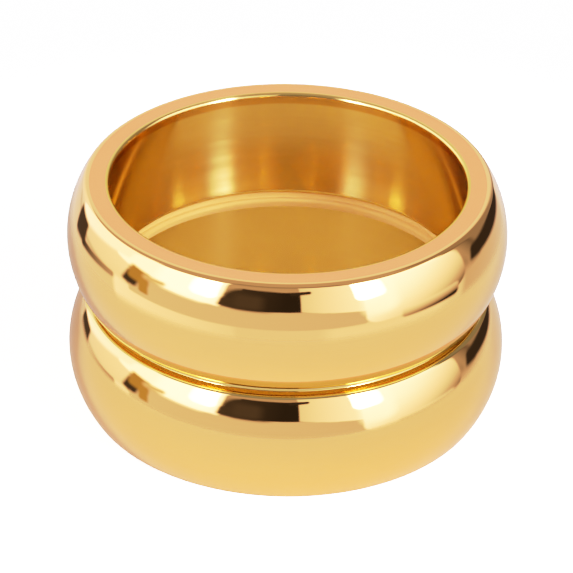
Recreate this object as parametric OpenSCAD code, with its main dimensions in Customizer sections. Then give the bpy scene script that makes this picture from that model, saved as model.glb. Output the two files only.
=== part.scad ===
// Finger ring of two domed bands, one above the other, joined into one piece by a seam between them.
// It lies on one flat face with the bore upright: the origin is on the bore's axis at that face.

/* [Bore] */
// Inside diameter, a common adult ring size
bore_d = 17.75; // [14:0.05:23]

/* [Bands] */
// Height of one band along the finger
band_h = 5.92; // [4:0.02:9]
// Metal from the bore to the outer end of a band's flat face
edge_t = 1.02; // [0.9:0.02:1.6]
// How far the crown of the dome stands out past the flat face
dome_rise = 1.12; // [0.7:0.02:1.6]

/* [Edges] */
// Rounding between the bore and each flat face
inner_round = 0.19; // [0.1:0.01:0.3]
// Rounding between each flat face and the dome
outer_round = 0.36; // [0.2:0.02:0.5]

/* [Seam] */
// Height of the seam, which is also the gap between the two bands
seam_h = 0.36; // [0.1:0.02:0.6]
// How far the seam lies behind the inner ends of the flat faces beside it
seam_in = 0.06; // [0.02:0.02:0.2]
// How far the seam lies behind the outer ends of those faces
seam_out = 0.22; // [0.02:0.02:0.3]

/* [Hidden] */
$fn = 180;

// The seam runs this far into the metal of each band
seam_lap = 0.2;

bore_r = bore_d / 2;
inner_x = bore_r + inner_round;
flat_r = bore_r + edge_t;
crown_r = flat_r + dome_rise;
mid_h = band_h / 2;

// The dome is one arc that runs smoothly into both outer roundings, whose radius and turn follow from
// the crown, the band's height and the rounding itself
round_h = mid_h - outer_round;
dome_r = (dome_rise ^ 2 + round_h ^ 2 - outer_round ^ 2) / (2 * (dome_rise - outer_round));
dome_x = crown_r - dome_r;
dome_turn = atan2(round_h, flat_r - dome_x);

// Height above the band's middle at which an outer rounding meets the dome
meet_h = dome_r * sin(dome_turn);

// Section of one band, standing on its lower flat face
module band_section() {
    // Straight-sided metal between the roundings
    translate([inner_x, 0]) square([flat_r - inner_x, band_h]);
    translate([bore_r, inner_round]) square([edge_t, band_h - 2 * inner_round]);
    // Roundings at both ends of the band, on the bore's side and on the dome's
    for (z = [inner_round, band_h - inner_round]) translate([inner_x, z]) circle(r = inner_round);
    for (z = [outer_round, band_h - outer_round]) translate([flat_r, z]) circle(r = outer_round);
    // Dome between its two outer roundings
    intersection() {
        translate([dome_x, mid_h]) circle(r = dome_r);
        translate([inner_x, mid_h - meet_h]) square([crown_r, 2 * meet_h]);
    }
}

// Section of the seam, at the height at which the lower band ends
module seam_section() {
    seam_t = flat_r - seam_out - inner_x - seam_in;
    translate([inner_x + seam_in, -seam_lap]) square([seam_t, seam_h + 2 * seam_lap]);
}

module double_band() {
    color([0.91, 0.74, 0.43]) rotate_extrude() {
        band_section();
        translate([0, band_h]) seam_section();
        translate([0, band_h + seam_h]) band_section();
    }
}

double_band();
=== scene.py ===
from math import atan2, cos, degrees, radians, sin, tan

import bpy
import numpy as np
from mathutils import Matrix, Vector


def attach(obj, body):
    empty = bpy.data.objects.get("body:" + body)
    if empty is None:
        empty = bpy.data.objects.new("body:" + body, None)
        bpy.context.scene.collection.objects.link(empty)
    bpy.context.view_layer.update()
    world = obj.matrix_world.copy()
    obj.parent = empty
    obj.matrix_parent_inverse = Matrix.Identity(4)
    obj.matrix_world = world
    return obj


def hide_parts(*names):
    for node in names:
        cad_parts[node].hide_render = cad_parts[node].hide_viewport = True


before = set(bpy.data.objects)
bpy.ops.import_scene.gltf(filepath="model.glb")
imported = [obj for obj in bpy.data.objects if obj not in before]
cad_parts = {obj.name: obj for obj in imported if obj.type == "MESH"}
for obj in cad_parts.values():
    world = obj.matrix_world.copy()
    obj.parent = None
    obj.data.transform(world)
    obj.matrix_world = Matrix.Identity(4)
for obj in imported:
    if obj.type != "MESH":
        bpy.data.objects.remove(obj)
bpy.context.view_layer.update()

mm = 0.001

# the ring's section in mm: two like bands with a recessed seam between them
ringSize = {
    "boreRadius": 8.875,       # wall of the finger hole
    "bandHeight": 5.92,        # one band
    "seamHeight": 0.36,        # gap between the bands
    "flatRadius": 9.895,       # outer edge of the flat end faces
    "crownRadius": 11.015,     # widest point of each dome
    "innerRound": 0.19,        # edge between end face and bore
    "outerRound": 0.36,        # edge between end face and dome
    "seamInside": 0.06,        # the seam lies this far behind the flat faces' inner edge
    "seamOutside": 0.22,       # and this far behind their outer edge
    "wallTilt": 14.0,          # lean of each hollow bore wall at its ends, in degrees
    "segments": 360,           # round the ring
    "domeRows": 56,            # across one dome
    "roundRows": 13,           # across one rounding
    "wallRows": 24,            # down one band's bore wall
    "lineInset": 0.02,         # support rows this far from each corner keep flats flat
}


def arcRows(centre, radius, fromDeg, toDeg, rows):
    # circle: centre plus radius times cosine and sine of evenly spaced angles
    a = np.radians(np.linspace(fromDeg, toDeg, rows))
    return np.stack([centre[0] + radius * np.cos(a), centre[1] + radius * np.sin(a)], 1)


def lineRows(start, end, inset):
    # straight line: two points a short way in from its ends, so each corner gets a tiny bevel
    start, end = np.array(start), np.array(end)
    step = (end - start) / np.linalg.norm(end - start) * inset
    return np.stack([start + step, end - step])


def wallRows(endRadius, high, low, tilt, rows):
    # hollow wall: the radius is a parabola over the height, and its slope at both ends is the
    # tilt's tangent, so its depth is a quarter of the height times that tangent
    t = np.linspace(1, -1, rows)
    middle, half = (high + low) / 2, (high - low) / 2
    hollow = half * tan(radians(tilt)) / 2
    return np.stack([endRadius + hollow * (1 - t ** 2), middle + t * half], 1)


def ringSection(size):
    # closed loop of (radius, height) rows, counter-clockwise, and each row's finish, which is
    # that of the strip from it to the next row
    bore, flat, crown = size["boreRadius"], size["flatRadius"], size["crownRadius"]
    inner, outer = size["innerRound"], size["outerRound"]
    rows, inset = size["roundRows"], size["lineInset"]
    low = size["bandHeight"]         # where the lower band ends
    up = low + size["seamHeight"]    # where the upper band starts
    top = up + low
    mid, rise = low / 2, crown - flat
    innerX = bore + inner
    seamIn, seamOut = innerX + size["seamInside"], flat - size["seamOutside"]
    # dome circle through the crown that runs on smoothly from both roundings
    domeR = (rise ** 2 + (mid - outer) ** 2 - outer ** 2) / (2 * (rise - outer))
    domeX = crown - domeR
    turn = degrees(atan2(mid - outer, flat - domeX))
    # each bore wall starts where its roundings lean by the tilt
    tilt, wall = size["wallTilt"], size["wallRows"]
    wallX = innerX - inner * cos(radians(tilt))
    wallInset = inner * (1 + sin(radians(tilt)))
    parts = [
        ("end", lineRows((innerX, 0), (flat, 0), inset)),
        ("dome", arcRows((flat, outer), outer, -90, -turn, rows)),
        ("dome", arcRows((domeX, mid), domeR, -turn, turn, size["domeRows"])[1:]),
        ("seam", arcRows((flat, low - outer), outer, turn, 90, rows)[1:]),
        ("seam", lineRows((flat, low), (seamOut, low), inset)),
        ("seam", lineRows((seamOut, low), (seamOut, up), inset)),
        ("seam", lineRows((seamOut, up), (flat, up), inset)),
        ("seam", arcRows((flat, up + outer), outer, -90, -turn, rows)),
        ("dome", arcRows((domeX, up + mid), domeR, -turn, turn, size["domeRows"])[1:]),
        ("dome", arcRows((flat, top - outer), outer, turn, 90, rows)[1:]),
        ("end", lineRows((flat, top), (innerX, top), inset)),
        ("bore", arcRows((innerX, top - inner), inner, 90, 180 + tilt, rows)),
        ("bore", wallRows(wallX, top - wallInset, up + wallInset, tilt, wall)[1:-1]),
        ("bore", arcRows((innerX, up + inner), inner, 180 - tilt, 270, rows)),
        ("lip", lineRows((innerX, up), (seamIn, up), inset)),
        ("lip", lineRows((seamIn, up), (seamIn, low), inset)),
        ("lip", lineRows((seamIn, low), (innerX, low), inset)),
        ("lip", arcRows((innerX, low - inner), inner, 90, 180 + tilt, rows)),
        ("bore", wallRows(wallX, low - wallInset, wallInset, tilt, wall)[1:-1]),
        ("bore", arcRows((innerX, inner), inner, 180 - tilt, 270, rows)),
    ]
    finishes = [finish for finish, points in parts for _ in points]
    return np.concatenate([points for _, points in parts]) * mm, finishes


def turnedMesh(name, section, segments, finishOfRow, finishNames):
    # surface of turning: x = r cos t, y = r sin t, z = height, for every row and every angle t
    count = len(section)
    t = np.arange(segments) * 2 * np.pi / segments
    co = np.empty((segments, count, 3))
    co[..., 0] = np.cos(t)[:, None] * section[:, 0]
    co[..., 1] = np.sin(t)[:, None] * section[:, 0]
    co[..., 2] = section[:, 1]
    # each face joins a row to the next one and an angle to the next one, round to the first
    i, j = np.meshgrid(np.arange(segments), np.arange(count), indexing="ij")
    i2, j2 = (i + 1) % segments, (j + 1) % count
    quads = np.stack([i * count + j, i2 * count + j, i2 * count + j2, i * count + j2], -1)
    quads = quads.reshape(-1, 4)
    mesh = bpy.data.meshes.new(name)
    mesh.vertices.add(segments * count)
    mesh.vertices.foreach_set("co", co.ravel())
    mesh.loops.add(quads.size)
    mesh.loops.foreach_set("vertex_index", quads.ravel())
    mesh.polygons.add(len(quads))
    mesh.polygons.foreach_set("loop_start", np.arange(0, quads.size, 4))
    slots = np.array([finishNames.index(f) for f in finishOfRow])
    mesh.polygons.foreach_set("material_index", np.tile(slots, segments))
    mesh.update(calc_edges=True)
    mesh.shade_smooth()
    return mesh


def addNode(tree, kind, inputs=None, **settings):
    # new node with its sockets filled: a socket as value is linked, anything else is set
    node = tree.nodes.new(kind)
    for key, value in settings.items():
        setattr(node, key, value)
    for key, value in (inputs or {}).items():
        if isinstance(value, bpy.types.NodeSocket):
            tree.links.new(value, node.inputs[key])
        else:
            node.inputs[key].default_value = value
    return node


def maths(tree, operation, *values):
    inputs = dict(enumerate(values))
    return addNode(tree, "ShaderNodeMath", inputs, operation=operation).outputs[0]


def vectorMaths(tree, operation, *vectors, result="Vector"):
    inputs = dict(enumerate(vectors))
    return addNode(tree, "ShaderNodeVectorMath", inputs, operation=operation).outputs[result]


def ranged(tree, value, fromLow, fromHigh, toLow, toHigh, kind="LINEAR"):
    inputs = {"Value": value, "From Min": fromLow, "From Max": fromHigh,
              "To Min": toLow, "To Max": toHigh}
    return addNode(tree, "ShaderNodeMapRange", inputs, interpolation_type=kind).outputs[0]


def mixed(tree, factor, a, b):
    # the mix node has sockets for other kinds of value too, so the colour ones go by number
    factorSocket, aSocket, bSocket, colourOut = 0, 6, 7, 2
    inputs = {factorSocket: factor, aSocket: a, bSocket: b}
    return addNode(tree, "ShaderNodeMix", inputs, data_type="RGBA").outputs[colourOut]


def stretchedNoise(tree, place, scale, detail):
    stretched = addNode(tree, "ShaderNodeMapping", {"Vector": place, "Scale": scale}).outputs[0]
    inputs = {"Vector": stretched, "Scale": 1.0, "Detail": detail}
    return addNode(tree, "ShaderNodeTexNoise", inputs).outputs["Fac"]


def newTree(material):
    material.use_nodes = True
    material.node_tree.nodes.clear()
    return material.node_tree


# gold of each region, with the tint of its edges seen at a slant. rough is from the glossiest to
# the dullest streak, brushed is how far the gloss fans out across the polishing lines, grain is
# how strongly those show, and streaks and lines are the two noises' counts per metre in x, y and z
goldFinish = {
    "dome": {
        "gold": (0.95, 0.53, 0.18, 1), "edge": (0.95, 0.97, 1.0, 1), "bands": ["under"],
        "rough": (0.012, 0.04), "brushed": 0.0, "grain": 0.025,
        "streaks": (260, 260, 2600), "lines": (2200, 2200, 26000),
    },
    "end": {
        "gold": (0.95, 0.40, 0.15, 1), "edge": (1.0, 0.9, 0.8, 1),
        "rough": (0.16, 0.26), "brushed": 0.0, "grain": 0.12,
        "streaks": (500, 500, 2600), "lines": (5200, 5200, 20000),
    },
    "bore": {
        "gold": (0.765, 0.545, 0.165, 1), "edge": (0.55, 0.4, 0.15, 1), "bands": ["paintedRimShade"],
        "rough": (0.145, 0.17), "brushed": 1.0, "grain": 0.01,
        "streaks": (220, 220, 4200), "lines": (120, 120, 9000),
    },
    "lip": {
        "gold": (0.68, 0.46, 0.165, 1), "edge": (1.0, 0.93, 0.82, 1),
        "rough": (0.85, 0.95), "brushed": 0.0, "grain": 0.03,
        "streaks": (220, 220, 4200), "lines": (500, 500, 9000),
    },
    "seam": {
        "gold": (0.72, 0.52, 0.17, 1), "edge": (0.9, 0.8, 0.65, 1),
        "rough": (0.02, 0.05), "brushed": 0.0, "grain": 0.02,
        "streaks": (700, 700, 700), "lines": (2200, 2200, 26000),
    },
}

# bands of height with a gold that is painted light, shade or a reflection tint: it is full between
# the two middle heights, in mm, and fades out towards the outer ones
paintedLightBands = {
    "under": {                                 # underside of the upper dome: a less red gold, a painted reflection tint near the seam
        "heights": (6.1, 6.11, 6.9, 7.02), "gold": (0.70, 0.58, 0.19, 1)},
    "paintedRimShade": {                                   # painted shade: darker gold on the bore just below its top edge
        "heights": (11.5, 11.66, 11.98, 12.03), "gold": (0.62, 0.33, 0.07, 1)},
}

# what all the golds share
polish = {
    "glossy": 0.35,                      # streak noise where the gloss is at its best
    "dull": 0.7,                         # and where it is at its worst
    "deeper": (1.0, 0.965, 0.93, 1.0),   # times the gold's colour where the streaks are strongest
    "streakDetail": 4.0,
    "lineDetail": 3.0,
    "lineDepth": 0.01,                   # depth of the polishing lines in mm
}


def goldMaterial(name, look):
    # metal whose gloss and colour vary in soft streaks, with the finest polishing lines as bump
    material = bpy.data.materials.new(name)
    tree = newTree(material)
    place = addNode(tree, "ShaderNodeTexCoord").outputs["Object"]
    streaks = stretchedNoise(tree, place, look["streaks"], polish["streakDetail"])
    lines = stretchedNoise(tree, place, look["lines"], polish["lineDetail"])
    rough = ranged(tree, streaks, polish["glossy"], polish["dull"], *look["rough"])
    bump = addNode(tree, "ShaderNodeBump", {
        "Height": lines, "Strength": look["grain"],
        "Distance": polish["lineDepth"] * mm}).outputs[0]
    deeper = [c * k for c, k in zip(look["gold"], polish["deeper"])]
    colour = mixed(tree, streaks, look["gold"], deeper)
    height = addNode(tree, "ShaderNodeSeparateXYZ", {0: place}).outputs["Z"]
    # painted shade and painted reflection tint: bands of height with a gold of their own
    for bandName in look.get("bands", []):
        band = paintedLightBands[bandName]
        start, full, until, end = [h * mm for h in band["heights"]]
        over = ranged(tree, height, start, full, 0.0, 1.0, "SMOOTHSTEP")
        under = ranged(tree, height, until, end, 1.0, 0.0, "SMOOTHSTEP")
        colour = mixed(tree, maths(tree, "MULTIPLY", over, under), colour, band["gold"])
    upright = addNode(tree, "ShaderNodeCombineXYZ", {"Z": 1.0}).outputs[0]
    metal = addNode(tree, "ShaderNodeBsdfPrincipled", {
        "Base Color": colour, "Metallic": 1.0, "Specular Tint": look["edge"], "Normal": bump,
        "Roughness": rough, "Anisotropic": look["brushed"], "Tangent": upright})
    addNode(tree, "ShaderNodeOutputMaterial", {"Surface": metal.outputs[0]})
    return material


section, finishOfRow = ringSection(ringSize)
finishNames = list(goldFinish)
ringMesh = turnedMesh("polished_ring", section, ringSize["segments"], finishOfRow, finishNames)
for name in finishNames:
    ringMesh.materials.append(goldMaterial("gold_" + name, goldFinish[name]))
ring = bpy.data.objects.new("polished_ring", ringMesh)
bpy.context.scene.collection.objects.link(ring)
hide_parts("double_band")
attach(ring, "root")
print("ring turned:", len(section), "rows by", ringSize["segments"], "angles,",
      len(ringMesh.polygons) * 2, "triangles")

# pale card that the ring lies on, in mm
cardLook = {
    "radius": 60,
    "below": 0.01,                            # the card's top lies this far below the ring
    "rings": 24,
    "segments": 96,
    "fadeFrom": 26,                           # it fades out into the backdrop
    "fadeTo": 40,
    "colour": (0.395, 0.395, 0.38, 1),        # as the gold mirrors it
    "middle": 9.5,                            # the radius of a painted pool of light, inside which the bore mirrors it
    "paintedPoolColour": (0.85, 0.89, 0.87, 1),    # as the bore mirrors it: paler, a painted pool of light
    "lensColour": (2.5, 2.87, 2.83, 1),       # as the lens sees it
}


def discMesh(name, look):
    # flat disc: rings of points whose radius grows evenly, with one face inside the first ring
    r = np.linspace(0, look["radius"], look["rings"] + 1)[1:] * mm
    t = np.arange(look["segments"]) * 2 * np.pi / look["segments"]
    co = np.zeros((len(r), len(t), 3))
    co[..., 0] = r[:, None] * np.cos(t)
    co[..., 1] = r[:, None] * np.sin(t)
    co[..., 2] = -look["below"] * mm
    count = len(t)
    i, j = np.meshgrid(np.arange(len(r) - 1) * count, np.arange(count), indexing="ij")
    j2 = (j + 1) % count
    quads = np.stack([i + j, i + count + j, i + count + j2, i + j2], -1).reshape(-1, 4)
    mesh = bpy.data.meshes.new(name)
    mesh.from_pydata(co.reshape(-1, 3), [], [list(range(count))] + quads.tolist())
    mesh.update()
    return mesh


def cardMaterial(name, look):
    # plain matt card, which the lens sees lit brighter than the gold does, and a painted pool of
    # light inside the ring
    material = bpy.data.materials.new(name)
    tree = newTree(material)
    place = addNode(tree, "ShaderNodeTexCoord").outputs["Object"]
    away = vectorMaths(tree, "LENGTH", place, result="Value")
    fade = ranged(tree, away, look["fadeFrom"] * mm, look["fadeTo"] * mm, 0.0, 1.0, "SMOOTHSTEP")
    seen = addNode(tree, "ShaderNodeLightPath").outputs["Is Camera Ray"]
    # painted pool of light: the card is paler inside the ring, where the bore mirrors it
    paintedPool = maths(tree, "LESS_THAN", away, look["middle"] * mm)
    forGold = mixed(tree, paintedPool, look["colour"], look["paintedPoolColour"])
    colour = mixed(tree, seen, forGold, look["lensColour"])
    card = addNode(tree, "ShaderNodeBsdfDiffuse", {"Color": colour}).outputs[0]
    clear = addNode(tree, "ShaderNodeBsdfTransparent").outputs[0]
    both = addNode(tree, "ShaderNodeMixShader", {0: fade, 1: card, 2: clear}).outputs[0]
    addNode(tree, "ShaderNodeOutputMaterial", {"Surface": both})
    return material


paleMesh = discMesh("pale_card", cardLook)
paleMesh.materials.append(cardMaterial("pale_card", cardLook))
paleCard = bpy.data.objects.new("pale_card", paleMesh)
bpy.context.scene.collection.objects.link(paleCard)

# the studio round the ring, as walls, cards and soft boxes by direction. side is degrees to the
# right of the camera's side, and rise is degrees above the ring's level. light is a thing's light
# at its middle, and across and up are how much more of it there is at the right edge than at the
# left and at the top than at the bottom. lean is side per degree of rise, slope is rise per degree
# of side, corner is the corners' radius and soft the width of the edge. Later things stand in front
studioLight = {
    "backdrop": 4.0,               # what the lens sees behind the ring
    "room": 0.5,                   # where nothing stands
    "warmth": (1.19, 1.0, 1.0),    # times all of the light that the gold sees
    "below": {"rise": -10, "light": 1.15, "soft": 3, "plainFrom": -46},    # the floor far off
    "corner": 0.5,                 # where a thing gives none
    "leastLight": 0.01,            # however far across or up take it down
    "things": {
        "left far wall": {"side": (-200, -86), "rise": (-9, 30), "light": 1.7, "across": 0.5,
                          "up": 0.8, "soft": 4},
        "right far wall": {"side": (100, 200), "rise": (-4, 60), "light": 0.3, "soft": 6},
        "back right": {"side": (150, 200), "rise": (5, 60), "light": 1.2, "soft": 20},
        "back left": {"side": (-200, -150), "rise": (5, 60), "light": 1.2, "soft": 20},
        "floor glow left": {"side": (-95, -25), "rise": (-45, -8), "light": 1.75, "across": -0.9,
                            "soft": 4},
        "floor glow right": {"side": (20, 85), "rise": (-45, -10), "light": 1.44, "soft": 12},
        "floor dull right": {"side": (98, 150), "rise": (-24, -7), "light": 0.8, "across": 0.2,
                             "soft": 6},
        "grey front": {"side": (-84, 40), "rise": (-11.5, 8.5), "light": 0.92, "across": -0.14,
                       "soft": 2},
        "over front": {"side": (-38, 40), "rise": (29.5, 62), "light": 0.4, "up": -0.3, "soft": 4},
        "left soft box": {"side": (-97, -33), "rise": (7.5, 42), "light": 4.2, "soft": 3},
        "left box end": {"side": (-135, -88), "rise": (2, 40), "light": 3.2, "soft": 4,
                         "slope": 0.42},
        "left box core": {"side": (-70, -38), "rise": (8, 42), "light": 6.0, "soft": 8,
                          "corner": 3},
        "right soft box": {"side": (7, 41), "rise": (5.5, 42), "light": 1.95, "across": 1.5,
                           "soft": 1.2, "slope": -0.22},
        "bright soft box": {"side": (39.5, 99.5), "rise": (-13, 42), "light": 3.3, "across": -2.5,
                            "up": 4.4, "soft": 2, "corner": 7},
        "right box core": {"side": (39.5, 56), "rise": (-4, 42), "light": 5.0, "up": 3.0,
                           "soft": 9, "corner": 2},
        "left strip light": {"side": (-50, -37.5), "rise": (15, 35), "light": 51.0, "across": 46,
                             "soft": 5.5},
        "right strip light": {"side": (37.5, 52), "rise": (15, 35), "light": 107.0,
                              "across": -175, "soft": 5.5},
        "gap": {"side": (-24, 7.5), "rise": (8.6, 30), "light": 0.02, "soft": 1.3, "corner": 0.3},
        "gap side": {"side": (-33, 0), "rise": (7.5, 30), "light": 0.035, "across": -0.03,
                     "soft": 5, "lean": 0.12, "corner": 8},
        "gap foot": {"side": (-34.5, -12), "rise": (8.3, 18), "light": 0.045, "across": -0.03,
                     "soft": 3.5, "lean": 0.2},
        "gap glow": {"side": (-27, -12), "rise": (9.5, 24), "light": 0.065, "soft": 7},
        "gap tip": {"side": (2, 13.5), "rise": (27, 30.5), "light": 0.03, "soft": 1.2,
                    "slope": 0.1, "corner": 1},
        "stand leg": {"side": (-88, -78), "rise": (-6.5, 4.5), "light": 0.05, "soft": 3.5,
                      "lean": 0.3},
        "stand bar": {"side": (-86, -72.5), "rise": (-1, 10.5), "light": 0.38,
                      "tint": (1.2, 1.0, 0.35), "soft": 4},
        "stand foot": {"side": (-78, -72), "rise": (-7.5, 4), "light": 0.42,
                       "tint": (1.15, 1.0, 0.35), "soft": 2.6, "lean": -0.1},
        "stand tip": {"side": (-77, -63), "rise": (6, 10.5), "light": 0.9,
                      "tint": (1.1, 1.0, 0.8), "soft": 4, "slope": 0.2},
        "left dark line": {"side": (-127, -95), "rise": (-14.2, -10.2), "light": 0.26,
                           "across": 0.5, "soft": 2.4, "slope": 0.15},
        "left dark": {"side": (-137, -123), "rise": (-16, -4.5), "light": 0.06, "soft": 3.0,
                      "slope": 0.15},
        "box shade": {"side": (58.5, 94), "rise": (-16.8, -7.8), "light": 0.75, "across": -0.8,
                      "up": 1.7, "soft": 2.5, "slope": -0.06, "corner": 1.5},
        "right brown": {"side": (98, 109), "rise": (-7, 34), "light": 0.3, "across": -0.4,
                        "soft": 4.5, "lean": -0.3},
        "right dark": {"side": (104, 155), "rise": (-9.9, -1), "light": 0.03, "soft": 3,
                       "slope": -0.21, "lean": 0.4, "corner": 1},
    },
}


def cardLight(tree, look, place, swapped, light, thing):
    # rounded rectangle of directions: how far a direction lies outside an inner box, smaller by
    # the corner radius and half the soft edge, sets how much of the thing's light stands in
    # front of the light so far
    (left, right), (low, high) = thing["side"], thing["rise"]
    middle = Vector(((left + right) / 2, (low + high) / 2, 0))
    lean, slope = thing.get("lean", 0), thing.get("slope", 0)
    if lean or slope:
        place = vectorMaths(tree, "MULTIPLY_ADD", swapped, (-lean, -slope, 0), place)
        middle -= Vector((lean * middle.y, slope * middle.x, 0))
    corner, soft = thing.get("corner", look["corner"]), thing["soft"]
    inner = Vector((right - left, high - low, 0)) / 2 - Vector((1, 1, 0)) * (corner + soft / 2)
    fromMiddle = vectorMaths(tree, "SUBTRACT", place, middle)
    outside = vectorMaths(tree, "SUBTRACT", vectorMaths(tree, "ABSOLUTE", fromMiddle), inner)
    outside = vectorMaths(tree, "MAXIMUM", outside, (0, 0, 0))
    away = vectorMaths(tree, "LENGTH", outside, result="Value")
    mask = ranged(tree, away, corner, corner + soft, 1.0, 0.0, "SMOOTHSTEP")
    shine = thing["light"]
    if "across" in thing or "up" in thing:
        grow = (thing.get("across", 0) / (right - left), thing.get("up", 0) / (high - low), 0)
        more = vectorMaths(tree, "DOT_PRODUCT", fromMiddle, grow, result="Value")
        shine = maths(tree, "MAXIMUM", maths(tree, "ADD", more, shine), look["leastLight"])
    else:
        shine = tuple(shine * c for c in thing.get("tint", (1, 1, 1))) + (1,)
    return mixed(tree, mask, light, shine)


def studioWorld(look):
    # side is the angle from the camera's side to x and rise the arc sine of z
    world = bpy.data.worlds.new("soft_studio")
    bpy.context.scene.world = world
    tree = newTree(world)
    way = addNode(tree, "ShaderNodeTexCoord").outputs["Generated"]
    axes = addNode(tree, "ShaderNodeSeparateXYZ", {0: way}).outputs
    toCamera = maths(tree, "MULTIPLY", axes[1], -1.0)
    side = maths(tree, "DEGREES", maths(tree, "ARCTAN2", axes[0], toCamera))
    rise = maths(tree, "DEGREES", maths(tree, "ARCSINE", axes[2]))
    place = addNode(tree, "ShaderNodeCombineXYZ", {0: side, 1: rise}).outputs[0]
    swapped = addNode(tree, "ShaderNodeCombineXYZ", {0: rise, 1: side}).outputs[0]
    below = look["below"]
    edge = below["soft"] / 2
    light = ranged(tree, rise, below["rise"] - edge, below["rise"] + edge,
                   below["light"], look["room"], "SMOOTHSTEP")
    for thing in look["things"].values():
        light = cardLight(tree, look, place, swapped, light, thing)
    light = vectorMaths(tree, "MULTIPLY", light, look["warmth"])
    studio = addNode(tree, "ShaderNodeBackground", {"Color": light, "Strength": 1.0}).outputs[0]
    # far below there is nothing but floor, and the lens sees only the backdrop
    plain = addNode(tree, "ShaderNodeBackground", {
        "Color": (*look["warmth"], 1), "Strength": below["light"]}).outputs[0]
    down = maths(tree, "LESS_THAN", rise, below["plainFrom"])
    gold = addNode(tree, "ShaderNodeMixShader", {0: down, 1: studio, 2: plain}).outputs[0]
    backdrop = addNode(tree, "ShaderNodeBackground", {
        "Color": (1, 1, 1, 1), "Strength": look["backdrop"]}).outputs[0]
    seen = addNode(tree, "ShaderNodeLightPath").outputs["Is Camera Ray"]
    both = addNode(tree, "ShaderNodeMixShader", {0: seen, 1: gold, 2: backdrop}).outputs[0]
    addNode(tree, "ShaderNodeOutputWorld", {"Surface": both})


studioWorld(studioLight)
print("studio set:", len(studioLight["things"]), "walls, cards and soft boxes")

# soft shoulder for the highlights, as (light in, light out)
toneCurve = [(0, 0), (0.42, 0.42), (0.61, 0.585), (0.8, 0.675), (1.0, 0.735), (1.35, 0.825),
             (1.8, 0.905), (2.4, 0.955), (3.2, 0.983), (4.0, 0.996)]


def filmTone(points):
    # the curve's first and last points are moved, and the others added between them
    view = bpy.context.scene.view_settings
    view.view_transform = "Standard"
    view.use_curve_mapping = True
    curves = view.curve_mapping
    top = points[-1][0]
    curves.white_level = (top, top, top)
    combined = 3               # the curve after those of red, green and blue
    allColours = curves.curves[combined]
    allColours.points[0].location = points[0]
    allColours.points[1].location = (1, points[-1][1])
    for x, y in points[1:-1]:
        allColours.points.new(x / top, y)
    curves.update()


filmTone(toneCurve)

# where the picture is taken from, in mm and degrees
cameraPlace = {
    "lens": 232.87,
    "sensor": 36,
    "aim": (0, 0, 5.96),
    "distance": 187.1,
    "rise": 31.44,             # above the ring's level
    "roll": 0.836,             # turn of the picture
    "near": 10,
    "far": 5000,
    "mirrorBounces": 10,       # how many times gold can mirror gold
}


def setCamera(place):
    # it looks at the aim from the distance and rise, with its picture turned by the roll
    camera = bpy.data.objects.new("camera", bpy.data.cameras.new("camera"))
    camera.data.lens = place["lens"]
    camera.data.sensor_width = place["sensor"]
    camera.data.clip_start = place["near"] * mm
    camera.data.clip_end = place["far"] * mm
    rise, roll = radians(place["rise"]), radians(place["roll"])
    back = Vector((0, -cos(rise), sin(rise)))
    right, up = Vector((1, 0, 0)), Vector((0, sin(rise), cos(rise)))
    x = right * cos(roll) + up * sin(roll)
    y = up * cos(roll) - right * sin(roll)
    turn = Matrix((x, y, back)).transposed().to_4x4()
    spot = (Vector(place["aim"]) + back * place["distance"]) * mm
    camera.matrix_world = Matrix.Translation(spot) @ turn
    bpy.context.scene.collection.objects.link(camera)
    bpy.context.scene.camera = camera


setCamera(cameraPlace)
bpy.context.scene.cycles.glossy_bounces = cameraPlace["mirrorBounces"]
